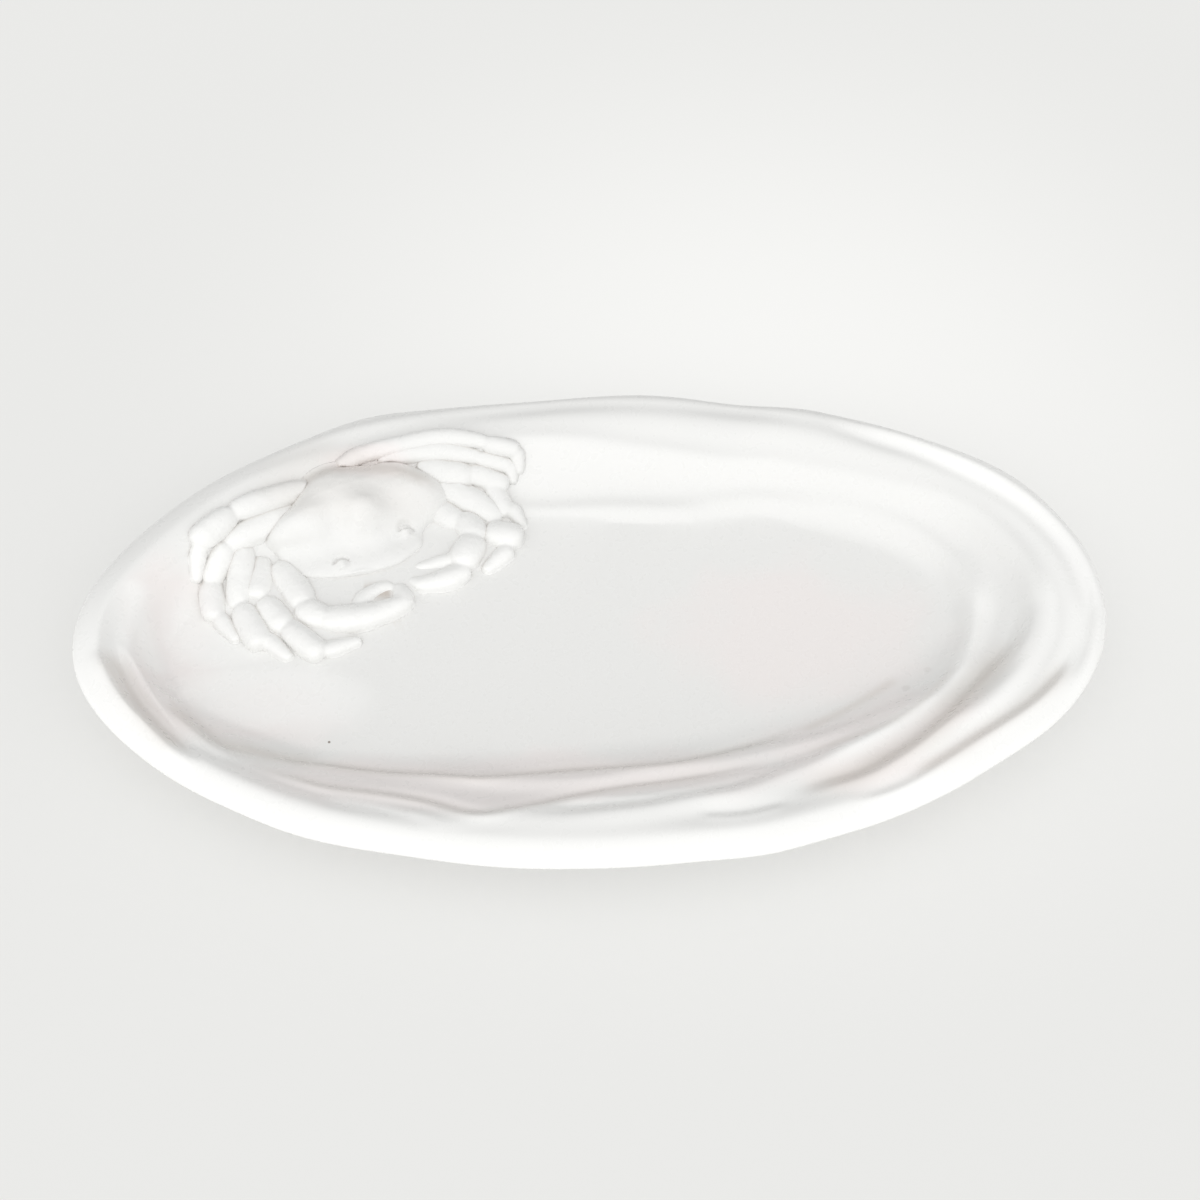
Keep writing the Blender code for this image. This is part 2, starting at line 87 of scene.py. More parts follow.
# The body and limbs of the crab, each one skin of glaze over its own pellets
BODY_NODES = ("shell", "mouth", "left_eye", "right_eye")
CLAWS = ("left_claw", "right_claw")
LEGS = [f"{side}_leg_{number}" for side in ("right", "left") for number in range(1, 5)]

# Seen from above: across the crab, toward its back, and the side that faces away from the light
CRAB_TURN = math.radians(20)
CRAB_ACROSS = Vector((math.cos(CRAB_TURN), math.sin(CRAB_TURN), 0))
CRAB_BACK = Vector((-CRAB_ACROSS.y, CRAB_ACROSS.x, 0))
FAR_SIDE = Vector((-0.3, 0.95, 0))

# Octaves of the clay's unevenness: fall in strength, step in scale and count
LUMP_OCTAVES = (0.9, 2.1, 3)
# Rounding of the foot ring's edges
FOOT_BEVEL = 0.5 * MM
# The skin of the crab's body is coarser, smoother and more flared than a limb's, by these factors
BODY_COARSENESS = 2
BODY_SOFTNESS = 6
BODY_FLARE = 3

# Form of the shell: two lengths to measure by, then the brow and the fall of the back, with heights in mm and
# places in half depths from the middle, and how far its front is drawn out under the right eye, in mm
SHELL_HALF_DEPTH = 22 * MM
SHELL_HALF_WIDTH = 30 * MM
BROW_HEIGHT = 2.0
BROW_PLACE = -0.45
BROW_WIDTH = 0.4
BACK_FALL = 2.2
BACK_START = 0.2
FRONT_DRAW = 8
FRONT_START = 0.3
# Form of an eye, in mm: width and height of its bump and where it runs, then width and height of the arch
# behind it, its radius, and its turns in degrees
EYE_BUMP = (2.6, 1.8)
EYE_REACHES = (-1.5, -0.5, 1, 2.5, 4, 5.5)
SOCKET_ARCH = (0.9, -1.5)
SOCKET_RADIUS = 3.7
SOCKET_TURNS = range(-20, 201, 20)
# Line of the mouth: width and height, and its way, in mm
MOUTH_RIDGE = (0.9, 0.7)
MOUTH_LINE = ((-121, 39), (-119, 39.7), (-113, 41.3), (-106, 41.6), (-100, 43.9), (-96, 45))

# Slip between the limbs: margin of its grid, passes that even it out, the share of its edge below which it is
# cut off, and its thickness
BED_MARGIN = 0.01
BED_BLUR = 4
BED_TRIM = 0.1
BED_PASSES = 2
BED_THICKNESS = 2 * MM

# How a line on a piece fades: at each end, over its length divided by the first, and on steep faces
END_FADE = 6
UPWARD_GAIN = 3
UPWARD_START = 0.6
# Makes the step of a bank as high as it is given
BANK_GAIN = 1.17
# Lines of the near wall that are both pressed and darkened with stain and painted shade, in mm: its foot and
# its middle terrace
FOOT_LINE = (
    (-162, -68), (-140, -71), (-126, -72), (-102, -77), (-79, -80), (-57, -84), (-34, -82), (-11, -80),
    (12, -80), (35, -79), (59, -73), (82, -66), (102, -55),
)
TERRACE_LINE = (
    (-168, -74), (-138, -86), (-124, -91), (-101, -95), (-79, -101), (-56, -110), (-34, -106), (-12, -100),
    (11, -95), (34, -92), (57, -88), (80, -82),
)
# Lines drawn by a finger in the wall: kind, width and height in mm, and the way it took over the dish in mm.
# A bank is a step down toward the middle, and a ridge is a raised line; a height below 0 turns it over.
STROKES = (
    # Near wall, from left to right: its foot, its middle terrace and the roll under the lip
    ("bank", 3.8, 2.4, FOOT_LINE),
    ("bank", 3.4, 2.2, TERRACE_LINE),
    ("bank", 3.0, 1.4, ((45, -116), (63, -116), (84, -111))),
    ("bank", 4.0, -1.0, ((-129, -99), (-115, -102), (-101, -105), (-87, -110), (-73, -115))),
    ("bank", 4.0, -2.2, ((-24, -108), (-1, -105), (18, -104), (34, -101), (57, -96), (82, -88))),
    # Left end: two steps with a thin line between them, and a crease under the far lip
    ("bank", 6.0, 5.6, ((-233, -12), (-226, -26), (-218, -41), (-205, -58), (-192, -73), (-181, -79))),
    ("bank", 5.0, 3.8, ((-203, -24), (-198, -36), (-189, -50), (-178, -64), (-165, -72))),
    ("ridge", 1.4, 0.6, ((-231, -2), (-216, -23), (-204, -46), (-185, -75))),
    ("ridge", 1.3, -0.6, ((-228, 13), (-220, 24), (-211, 34), (-202, 44), (-179, 64))),
    # Right end: the inner crest, a thin run of glaze at its foot, and the edges of the two outer crests
    ("ridge", 5.0, 2.0, (
        (186, 42), (192, 26), (192, 7), (184, -16), (174, -37), (158, -55), (132, -72), (93, -91))),
    ("ridge", 1.2, 0.2, ((159, 30), (164, 12), (168, -7))),
    ("bank", 5.2, 3.8, ((213, -2), (203, -24), (187, -41), (156, -74), (130, -93), (105, -101), (86, -108))),
    ("bank", 3.8, 2.4, (
        (229, -28), (223, -42), (211, -56), (200, -65), (173, -82), (141, -103), (113, -113))),
    # Lip: turned up and broad at the right end, less so along the far side
    ("bank", 6.0, 4.0, (
        (209, -62), (229, -44), (239, -22), (243, 0), (235, 33), (212, 65), (173, 93), (123, 115))),
    ("bank", 6.0, 1.6, ((173, 93), (123, 115), (64, 128), (0, 133), (-64, 128), (-123, 115), (-173, 93))),
)
# Bands of the glaze along the wall: stained where it ran off an edge, together with painted shade on the
# steep faces, and thick where it gathered, together with painted highlight on the crests, with width in mm,
# strength, and the way over the dish in mm
BANDS = (
    ("stain_and_shade", 4.5, 0.42, FOOT_LINE),
    ("stain_and_shade", 3.6, 0.28, TERRACE_LINE),
    # White bands of thick glaze and painted highlight on the crests
    ("thick_and_lit", 4.5, 1.00, (
        (-135, -101), (-115, -105), (-101, -108), (-87, -113), (-70, -117), (-40, -114), (-15, -109),
        (15, -106), (45, -103), (75, -95))),
    ("stain_and_shade", 6.0, 0.45, ((-232, -10), (-227, -24), (-219, -39), (-206, -58), (-190, -75))),
    ("stain_and_shade", 6.0, 0.45, ((-202, -34), (-196, -44), (-186, -55), (-172, -64), (-127, -72))),
    ("thick_and_lit", 6.0, 0.80, ((-222, 30), (-221, 14), (-216, -4), (-209, -20))),
    ("stain_and_shade", 7.0, 0.55, (
        (203, -17), (190, -37), (173, -57), (153, -78), (131, -90), (114, -98), (88, -104))),
    ("stain_and_shade", 4.4, 0.45, ((226, -38), (214, -53), (198, -66), (178, -79), (165, -88), (140, -101))),
    ("stain_and_shade", 2.6, 0.35, ((95, -62), (107, -56), (127, -45), (149, -30))),
    ("stain_and_shade", 2.4, 0.25, ((95, -80), (104, -77), (138, -68), (158, -52), (175, -29))),
    ("thick_and_lit", 5.5, 1.00, ((192, 30), (193, 14), (189, -13), (176, -38), (156, -58), (129, -76), (95, -94))),
    ("thick_and_lit", 5.5, 1.00, ((222, 20), (223, 3), (219, -23), (205, -44), (184, -67), (160, -82), (136, -97))),
)
# Painted shade on the crab in the same way: the back edge of the shell, which slopes away from the light, and
# the hollow of the claw that curls
SHELL_BACK_SHADE = ("stain_and_shade", 6.0, 0.5, (
    (-152, 76), (-145, 84), (-137, 90), (-125, 93), (-110, 93), (-93, 91), (-81, 87), (-75, 78)))
CLAW_HOLLOW_SHADE = ("stain_and_shade", 4.0, 1.0, ((-113, 30), (-108, 30), (-103, 29), (-97, 28)))
# Painted shade in the creases of the crab and on its sides away from the light: its strength, where it starts
# in reaches, and how far it comes round from the far side
CREASE_STRENGTH = 0.7
CREASE_START = 0.95
CREASE_TURN = 0.35
# Painted light on the near sides of the limbs, which face the light: how far it comes round, how fast it
# fades there, and the length of its fade in y, which ends at so many lengths
LIMB_TURN = 0.4
LIMB_TURN_GAIN = 1.2
LIMB_FADE = 30 * MM
LIMB_FADE_END = 2.5

# Places where the glaze ran thin, as x, y and radius in x and y, in mm
THIN_POOLS = (
    (97, -6, 69, 46), (-205, 12, 22, 32), (-166, -40, 42, 22), (-205, -35, 30, 40), (-30, -88, 140, 22),
    (135, -76, 66, 34), (-108, 98, 24, 12),
)
# Places whiter with thick glaze and painted light on the left end's slopes, and one darker with painted shade
# at the back of the crab, in the same way
THICK_AND_LIT_POOLS = ((-178, 12, 34, 26), (-160, -30, 52, 22))
SHADE_POOLS = ((-125, 84, 44, 26),)
THIN_STRENGTH = 0.85
THICK_AND_LIT_STRENGTH = 0.7
SHADE_POOL_STRENGTH = 0.2
# How far noise moves the edge of such a place, and where it begins and is full, both in radii
PATCH_DRIFT = 1.2
PATCH_EDGE = 1.8
PATCH_CORE = 1.2
# Pinholes and burnt specks in the glaze, as x, y and radius in mm, and strength; their edges don't drift
SPECKS = ((150, -39, 2.2, 0.13), (162, -28, 2.0, 0.1), (-127, -56, 0.7, 1.0))
SPECK_DRIFT = 0.5
# Painted highlight on the lip, whiter at the near side and the right end where the light falls: one over the
# half length and half width, the part of the way out where it begins and is full, and the same for its near
# side in y and its right end in x
LIP_SCALE = (4.0, 7.14, 0.0)
LIP_REACH = (0.87, 0.95)
LIP_NEAR = (50 * MM, -30 * MM)
LIP_RIGHT = (120 * MM, 200 * MM)
# Gloss of the glaze, as least and most roughness: below about 0.24 it shows white flecks
GLAZE_ROUGHNESS = (0.25, 0.31)
GLAZE_BUMP = 0.12
GLAZE_BUMP_DEPTH = 0.3 * MM
GLAZE_IOR = 1.52
# Bare clay: the part of the noise that shows as grains, its roughness and its bump
GROG_RANGE = (0.52, 0.70)
BISCUIT_ROUGHNESS = 0.85
BISCUIT_BUMP = 0.5
BISCUIT_BUMP_DEPTH = 0.2 * MM
# Table: its size, its roughness, and the middle, radius and levels of a pool of light painted on it behind
# the platter
TABLE_SIZE = 8.0
TABLE_ROUGHNESS = 0.9
TABLE_LIGHT_MIDDLE = (0.10, 0.15, 0.0)
TABLE_LIGHT_RADIUS = 0.40
TABLE_LIGHT_LEVELS = (1.20, 0.94)
# Width of the camera's sensor in mm
SENSOR_WIDTH = 36.0


def linear(hex_colour):
    """Linear red, green and blue of an sRGB hex colour."""
    shares = [int(hex_colour[i:i + 2], 16) / 255 for i in (1, 3, 5)]
    return [c / 12.92 if c <= 0.04045 else ((c + 0.055) / 1.055) ** 2.4 for c in shares]


def colour_setting(name, description, hex_colour):
    """A colour that can be set, with an sRGB hex colour to start from."""
    return FloatVectorProperty(
        name=name, description=description, subtype="COLOR", size=3, min=0, max=1,
        default=linear(hex_colour),
    )


def length_setting(name, description, millimetres):
    """A length that can be set, with one in mm to start from."""
    return FloatProperty(
        name=name, description=description, subtype="DISTANCE", unit="LENGTH", default=millimetres * MM,
    )


class GlazeSettings(bpy.types.PropertyGroup):
    """Colours and grain of the glaze and of the bare clay."""

    white: colour_setting("White", "Glaze where it lies evenly", "#E8E8E6")
    # Rim: thick glaze and painted highlight on lips, crests and the near sides of limbs
    thick_and_lit_white: colour_setting("Rim", "Glaze where it lies thick", "#F3F3F1")
    blush: colour_setting("Blush", "Glaze where the clay shows through", "#ECE7E5")
    # Stain: glaze that ran off an edge, and painted shade in creases, on steep faces and on sides away from
    # the light
    stain_and_shade: colour_setting("Stain", "Glaze that ran off an edge or stayed out of a crease", "#CBC3BB")
    speck: colour_setting("Speck", "Burnt speck in the glaze", "#8C827A")
    biscuit: colour_setting("Biscuit", "Fired clay without glaze", "#D8CCBB")
    grog: colour_setting("Grog", "Coarse grains in the fired clay", "#B7A58F")
    pool: length_setting("Pool", "Width of the raggedness of a patch of thin, thick or stained glaze", 40)
    peel: length_setting("Peel", "Width of the waves left in the glaze as it set", 5)
    grit: length_setting("Grit", "Width of the grains in the bare clay", 1.2)


class DishSettings(bpy.types.PropertyGroup):
    """How evenly the dish was pressed by hand."""

    fineness: IntProperty(name="Fineness", description="Subdivisions of the dish", default=2, min=0, max=3)
    smoothing: IntProperty(name="Smoothing", description="Passes that soften its ripples", default=4, min=0)
    wave: length_setting("Wave", "Length of the unevenness left by the hand", 42)
    wave_depth: length_setting("Wave depth", "Depth of that unevenness", 0.45)


class CrabSettings(bpy.types.PropertyGroup):
    """How the glaze covers the pellets of the crab."""

    skin: length_setting("Skin", "Thickness of the glaze over a pellet", 0.8)
    voxel: length_setting("Voxel", "Cell of the skin that joins the pellets", 0.55)
    smoothing: IntProperty(name="Smoothing", description="Passes that soften the creases", default=4, min=0)
    limb_fill: length_setting("Limb fill", "Reach of the glaze over the joints of a limb", 1.3)
    body_fill: length_setting("Body fill", "Reach of the glaze between the shell and the face", 4.5)
    eye_inset: length_setting("Eye inset", "How far an eye moves in from the edge of the shell", 0.6)
    bed_cell: length_setting("Bed cell", "Cell of the slip between the limbs", 1.1)
    bed_reach: length_setting("Bed reach", "Half width of the widest gap that the slip fills", 12)
    bed_inset: length_setting("Bed inset", "How far the slip keeps inside the outline of the crab", 4)
    bed_edge: length_setting("Bed edge", "How deep the edge of the slip dips under the dish's glaze", 0.4)
    bed_share: FloatProperty(
        name="Bed share", description="Height of the slip, as a share of the limbs", default=0.55,
    )
    lump: length_setting("Lump", "Width of the unevenness of the hand-rolled clay", 7)
    lump_depth: length_setting("Lump depth", "Depth of that unevenness", 0.2)
    # Reach of the painted shade in a crease
    crease: length_setting("Crease", "How far the stain of a crease reaches", 3.0)
    fillet: length_setting("Fillet", "Radius of the glaze in the corner with the dish", 1.1)


class StageSettings(bpy.types.PropertyGroup):
    """Camera, table and light."""

    elevation: FloatProperty(
        name="Elevation", description="Angle of the camera above the table", subtype="ANGLE",
        default=math.radians(54),
    )
    azimuth: FloatProperty(
        name="Azimuth", description="Turn of the camera round the platter", subtype="ANGLE",
        default=math.radians(-2.4),
    )
    distance: length_setting("Distance", "From the camera to its target", 1072.8)
    target: FloatVectorProperty(
        name="Target", description="Point that the camera looks at", subtype="TRANSLATION", size=3,
        default=(0.0049, 0.0177, 0.020),
    )
    lens: FloatProperty(name="Lens", description="Focal length on a sensor 36 mm wide", default=65.1)
    table: colour_setting("Table", "Colour of the table", "#EDEDEB")
    front: FloatVectorProperty(
        name="Front", description="Direction of the brightest part of the studio", subtype="DIRECTION",
        size=3, default=(-0.12, -0.86, 0.46),
    )
    dim: FloatProperty(name="Dim", description="Light from the far side", default=0.0)
    bright: FloatProperty(name="Bright", description="Light from the near side", default=1.555)
    glow: FloatProperty(
        name="Glow", description="Share of the table's look that no shadow reaches", default=0.55,
    )


def clamp(value):
    """A value, kept between 0 and 1."""
    return min(max(value, 0.0), 1.0)


def pick(obj):
    """Select one object alone, and make it active."""
    bpy.ops.object.select_all(action="DESELECT")
    obj.select_set(True)
    bpy.context.view_layer.objects.active = obj


def copy_of(node, name):
    """A copy of a node of the frame, merged, and in quads where its triangles pair up."""
    obj = bpy.data.objects.new(name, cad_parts[node].data.copy())
    bpy.context.scene.collection.objects.link(obj)
    obj.data.materials.clear()
    pick(obj)
    bpy.ops.mesh.customdata_custom_splitnormals_clear()
    bpy.ops.object.mode_set(mode="EDIT")
    bpy.ops.mesh.select_all(action="SELECT")
    bpy.ops.mesh.remove_doubles(threshold=WELD)
    bpy.ops.mesh.tris_convert_to_quads()
    bpy.ops.object.mode_set(mode="OBJECT")
    return obj


def apply_modifier(obj, kind, **settings):
    """Add a modifier with its settings to an object, and apply it."""
    pick(obj)
    modifier = obj.modifiers.new(kind.lower(), kind)
    for name, value in settings.items():
        setattr(modifier, name, value)
    bpy.ops.object.modifier_apply(modifier=modifier.name)


def smooth(obj, passes):
    apply_modifier(obj, "SMOOTH", factor=0.5, iterations=passes)


def join(objects, name):
    """Join objects into the first of them."""
    pick(objects[0])
    for obj in objects:
        obj.select_set(True)
    if len(objects) > 1:
        bpy.ops.object.join()
    objects[0].name = name
    objects[0].data.name = name
    return objects[0]


def shift(obj, moves):
    """Move each vertex, once all moves are known, because a move changes the normals."""
    for vert, move in zip(obj.data.vertices, moves):
        vert.co += move


def drop(obj, flags):
    """Delete the flagged vertices."""
    pick(obj)
    bpy.ops.object.mode_set(mode="EDIT")
    bpy.ops.mesh.select_mode(type="VERT")
    bpy.ops.mesh.select_all(action="DESELECT")
    bpy.ops.object.mode_set(mode="OBJECT")
    obj.data.vertices.foreach_set("select", flags)
    bpy.ops.object.mode_set(mode="EDIT")
    bpy.ops.mesh.delete(type="VERT")
    bpy.ops.object.mode_set(mode="OBJECT")


def skins(*names):
    """Search trees over the faces of finished pieces."""
    graph = bpy.context.evaluated_depsgraph_get()
    return [BVHTree.FromObject(bpy.data.objects[name], graph) for name in names]


def flare(obj, hosts, radius):
    """Spread the foot of a piece in a fillet where it comes down on its hosts."""
    moves = []
    for vert in obj.data.vertices:
        landings = [host.find_nearest(vert.co) for host in hosts]
        point, normal, _, _ = min(landings, key=lambda landing: landing[3])
        height = (vert.co - point).dot(normal)
        share = clamp(1 - height / radius)
        outward = vert.normal - normal * vert.normal.dot(normal)
        moves.append(outward * radius * (1 - math.sqrt(1 - share * share)))
    shift(obj, moves)


def curve(points, step):
    """Points in metres along a Catmull-Rom line through a few given ones in mm, about a step apart."""
    ends = [points[0], *points, points[-1]]
    line = []
    for a, b, c, d in zip(ends, ends[1:], ends[2:], ends[3:]):
        a, b, c, d = (Vector((x, y, 0)) * MM for x, y in (a, b, c, d))
        count = max(int((c - b).length / step), 1)
        for i in range(count):
            t = i / count
            line.append(0.5 * (2 * b + (c - a) * t + (2 * a - 5 * b + 4 * c - d) * t ** 2
                               + (3 * b - a - 3 * c + d) * t ** 3))
    return line


def along(obj, points, width):
    """For each vertex, its distance from a line in widths, whether it is inside, and its share.

    The share is how far a change along the line applies: it fades to both ends, and on steep faces.
    """
    line = curve(points, MM)
    tree = KDTree(len(line))
    for i, point in enumerate(line):
        tree.insert(point, i)
    tree.balance()
    _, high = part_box("platter_body")
    for vert in obj.data.vertices:
        flat = Vector((vert.co.x, vert.co.y, 0))
        point, i, away = tree.find(flat)
        outward = Vector((point.x / high.x ** 2, point.y / high.y ** 2, 0))
        inside = (point - flat).dot(outward) > 0
        fade = min(1.0, END_FADE * i / len(line), END_FADE * (len(line) - 1 - i) / len(line))
        upward = clamp(UPWARD_GAIN * vert.normal.z - UPWARD_START)
        yield away / (width * MM), inside, fade * fade * (3 - 2 * fade) * upward


def stroke(obj, kind, width, height, points):
    """Draw a finger along a line over a piece, seen from above; both ends fade out."""
    moves = []
    for away, inside, fade in along(obj, points, width):
        lift = height * MM * fade * math.exp(-away * away)
        if kind == "bank":
            lift *= BANK_GAIN * (-away if inside else away)
        moves.append(Vector((0, 0, lift)))
    shift(obj, moves)


def layer_of(obj, name):
    """An attribute of a piece that its finish reads, with a value for each vertex."""
    return obj.data.attributes.get(name) or obj.data.attributes.new(name, "FLOAT", "POINT")


def band(obj, name, width, strength, points):
    """Lay a band of the glaze along a line over a piece; the stronger of it and what is there."""
    for value, (away, _, fade) in zip(layer_of(obj, name).data, along(obj, points, width)):
        value.value = max(value.value, strength * fade * math.exp(-away * away))


def glazed_skin(nodes, name, settings, fill, voxel, smoothing):
    """One skin over several pellets: rounded, swollen till they meet, joined, and drawn back."""
    obj = join([copy_of(node, node + "_copy") for node in nodes], name)
    apply_modifier(obj, "SUBSURF", levels=2, render_levels=2)
    apply_modifier(obj, "DISPLACE", strength=fill, mid_level=0.0)
    apply_modifier(obj, "REMESH", mode="VOXEL", voxel_size=voxel)
    smooth(obj, smoothing)
    apply_modifier(obj, "DISPLACE", strength=settings.skin - fill, mid_level=0.0)
    smooth(obj, smoothing)
    shift(obj, [
        vert.normal * settings.lump_depth * noise.fractal(vert.co / settings.lump, *LUMP_OCTAVES)
        for vert in obj.data.vertices
    ])
    return obj


def nodes_of(limb):
    """Names of the pellets of a limb."""
    return sorted(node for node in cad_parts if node.startswith(limb + "_"))


def finish_piece(obj, nodes, material):
    """Shade a piece, give it its finish, and put it in the place of its nodes."""
    pick(obj)
    bpy.ops.object.shade_smooth()
    obj.data.materials.clear()
    obj.data.materials.append(material)
    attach(obj, BODY)
    if nodes:
        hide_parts(*nodes)


def add_node(tree, kind, inputs=None, **settings):
    """Add a node with its settings; an input is a value to set or a socket to link."""
    node = tree.nodes.new(kind)
    for name, value in settings.items():
        setattr(node, name, value)
    for name, value in (inputs or {}).items():
        if isinstance(value, bpy.types.NodeSocket):
            tree.links.new(value, node.inputs[name])
        else:
            node.inputs[name].default_value = value
    return node


def new_material(name):
    """A new material, with its node tree and its shader."""
    material = bpy.data.materials.new(name)
    material.use_nodes = True
    tree = material.node_tree
    return material, tree, tree.nodes["Principled BSDF"]


def ramp(tree, value, start, end, low=0.0, high=1.0):
    """A smooth change from low to high, as a value goes from start to end."""
    return add_node(tree, "ShaderNodeMapRange", {
        "Value": value, "From Min": start, "From Max": end, "To Min": low, "To Max": high,
    }, interpolation_type="SMOOTHSTEP").outputs["Result"]


def combine(tree, operation, first, second):
    """Two values, put together by an operation of the math node."""
    return add_node(tree, "ShaderNodeMath", {0: first, 1: second}, operation=operation).outputs["Value"]


def attribute(tree, name):
    """An attribute of the piece itself, as a value."""
    return add_node(tree, "ShaderNodeAttribute", attribute_name=name).outputs["Fac"]


def grain(tree, place, width, detail):
    """Noise with waves of a given width."""
    return add_node(tree, "ShaderNodeTexNoise", {
        "Vector": place, "Scale": 1 / width, "Detail": detail,
    }).outputs["Fac"]


def roughen(tree, shader, height, strength, depth):
    """Raise the surface by a bump, as seen by light."""
    bump = add_node(tree, "ShaderNodeBump", {"Height": height, "Strength": strength, "Distance": depth})
    tree.links.new(bump.outputs["Normal"], shader.inputs["Normal"])


def patch(tree, place, middle, radii, under, drift, strength):
    """A round patch seen from above, with a drifting edge; the stronger of it and what lies under."""
    near = add_node(tree, "ShaderNodeVectorMath", {
        0: place, 1: [-v * MM for v in (*middle, 0)],
    }, operation="ADD")
    scaled = add_node(tree, "ShaderNodeVectorMath", {
        0: near.outputs["Vector"], 1: [1 / (r * MM) for r in radii] + [0.0],
    }, operation="MULTIPLY")
    away = add_node(tree, "ShaderNodeVectorMath", {0: scaled.outputs["Vector"]}, operation="LENGTH")
    ragged = add_node(tree, "ShaderNodeMath", {
        0: drift, 1: PATCH_DRIFT, 2: away.outputs["Value"],
    }, operation="MULTIPLY_ADD")
    share = ramp(tree, ragged.outputs["Value"], PATCH_EDGE, PATCH_CORE, 0.0, strength)
    return combine(tree, "MAXIMUM", share, under)


def patches(tree, place, pools, under, drift, strength):
    """Several patches, each over the one before."""
    for x, y, across, deep in pools:
        under = patch(tree, place, (x, y), (across, deep), under, drift, strength)
    return under


def lip(tree, place):
    """Painted highlight on the lip, white at the near side and the right end, where the light falls."""
    scaled = add_node(tree, "ShaderNodeVectorMath", {0: place, 1: LIP_SCALE}, operation="MULTIPLY")
    reach = add_node(tree, "ShaderNodeVectorMath", {0: scaled.outputs["Vector"]}, operation="LENGTH")
    edge = ramp(tree, reach.outputs["Value"], *LIP_REACH)
    axes = add_node(tree, "ShaderNodeSeparateXYZ", {"Vector": place})
    near = ramp(tree, axes.outputs["Y"], *LIP_NEAR)
    right = ramp(tree, axes.outputs["X"], *LIP_RIGHT)
    return combine(tree, "MULTIPLY", edge, combine(tree, "MAXIMUM", near, right))


def white_glaze(settings):
    """Glossy white tin glaze, with a warm blush where thin: whiter where thick and where a highlight is
    painted on the lips, crests and near sides of limbs, and darker where stained and where shade is painted
    into creases, steep faces and far sides.
    """
    found = bpy.data.materials.get("white_tin_glaze")
    if found:
        return found
    material, tree, shader = new_material("white_tin_glaze")
    place = add_node(tree, "ShaderNodeTexCoord").outputs["Object"]
    drift = grain(tree, place, settings.pool, detail=4.0)
    thin = patches(tree, place, THIN_POOLS, 0.0, drift, THIN_STRENGTH)
    speck = 0.0
    for x, y, radius, strength in SPECKS:
        speck = patch(tree, place, (x, y), (radius, radius), speck, SPECK_DRIFT, strength)
    # Whiter where the glaze is thick and where a highlight is painted on
    thick_and_lit = combine(tree, "MAXIMUM", lip(tree, place), attribute(tree, "thick_and_lit"))
    thick_and_lit = patches(tree, place, THICK_AND_LIT_POOLS, thick_and_lit, drift, THICK_AND_LIT_STRENGTH)
    # Darker where the glaze is stained and where shade is painted on
    stain_and_shade = patches(tree, place, SHADE_POOLS, attribute(tree, "stain_and_shade"), drift, SHADE_POOL_STRENGTH)
    colour = (*settings.white, 1)
    layers = (thin, settings.blush), (thick_and_lit, settings.thick_and_lit_white), (stain_and_shade, settings.stain_and_shade), (speck, settings.speck)
    for share, over in layers:
        colour = add_node(tree, "ShaderNodeMix", {
            "Factor": share, "A": colour, "B": (*over, 1),
        }, data_type="RGBA").outputs["Result"]
    tree.links.new(colour, shader.inputs["Base Color"])
    peel = grain(tree, place, settings.peel, detail=1.0)
    smoothest, roughest = GLAZE_ROUGHNESS
    rough = add_node(tree, "ShaderNodeMapRange", {"Value": peel, "To Min": smoothest, "To Max": roughest})
    tree.links.new(rough.outputs["Result"], shader.inputs["Roughness"])
    roughen(tree, shader, peel, GLAZE_BUMP, GLAZE_BUMP_DEPTH)
    shader.inputs["IOR"].default_value = GLAZE_IOR
    return material


def bare_biscuit(settings):
    """Unglazed fired clay, sponged on the foot: matt, sandy, with darker grains of grog."""
    material, tree, shader = new_material("bare_biscuit_clay")
    place = add_node(tree, "ShaderNodeTexCoord").outputs["Object"]
    grit = grain(tree, place, settings.grit, detail=3.0)
    fewest, most = GROG_RANGE
    grog = add_node(tree, "ShaderNodeMapRange", {"Value": grit, "From Min": fewest, "From Max": most})
    tint = add_node(tree, "ShaderNodeMix", {
        "Factor": grog.outputs["Result"], "A": (*settings.biscuit, 1), "B": (*settings.grog, 1),
    }, data_type="RGBA")
    tree.links.new(tint.outputs["Result"], shader.inputs["Base Color"])
    roughen(tree, shader, grit, BISCUIT_BUMP, BISCUIT_BUMP_DEPTH)
    shader.inputs["Roughness"].default_value = BISCUIT_ROUGHNESS
    return material


def pale_table(settings):
    """Matt painted board, pale, with a pool of light painted on it behind the platter; to the eye, a part of
    its brightness is its own, so shadows stay soft.
    """
    material, tree, shader = new_material("pale_painted_board")
    shader.inputs["Base Color"].default_value = (*settings.table, 1)
    shader.inputs["Roughness"].default_value = TABLE_ROUGHNESS
    shader.inputs["Specular IOR Level"].default_value = 0.0
    seen = add_node(tree, "ShaderNodeLightPath").outputs["Is Camera Ray"]
    place = add_node(tree, "ShaderNodeTexCoord").outputs["Object"]
    away = add_node(tree, "ShaderNodeVectorMath", {0: place, 1: TABLE_LIGHT_MIDDLE}, operation="DISTANCE")
    # A pool of light painted on the table, brightest behind the platter
    level = ramp(tree, away.outputs["Value"], 0.0, TABLE_LIGHT_RADIUS, *TABLE_LIGHT_LEVELS)
    paint = add_node(tree, "ShaderNodeEmission", {"Color": (*settings.table, 1), "Strength": level})
    share = combine(tree, "MULTIPLY", seen, settings.glow)
    look = add_node(tree, "ShaderNodeMixShader", {
        0: share, 1: shader.outputs["BSDF"], 2: paint.outputs["Emission"],
    })
    tree.links.new(look.outputs["Shader"], tree.nodes["Material Output"].inputs["Surface"])
    return material


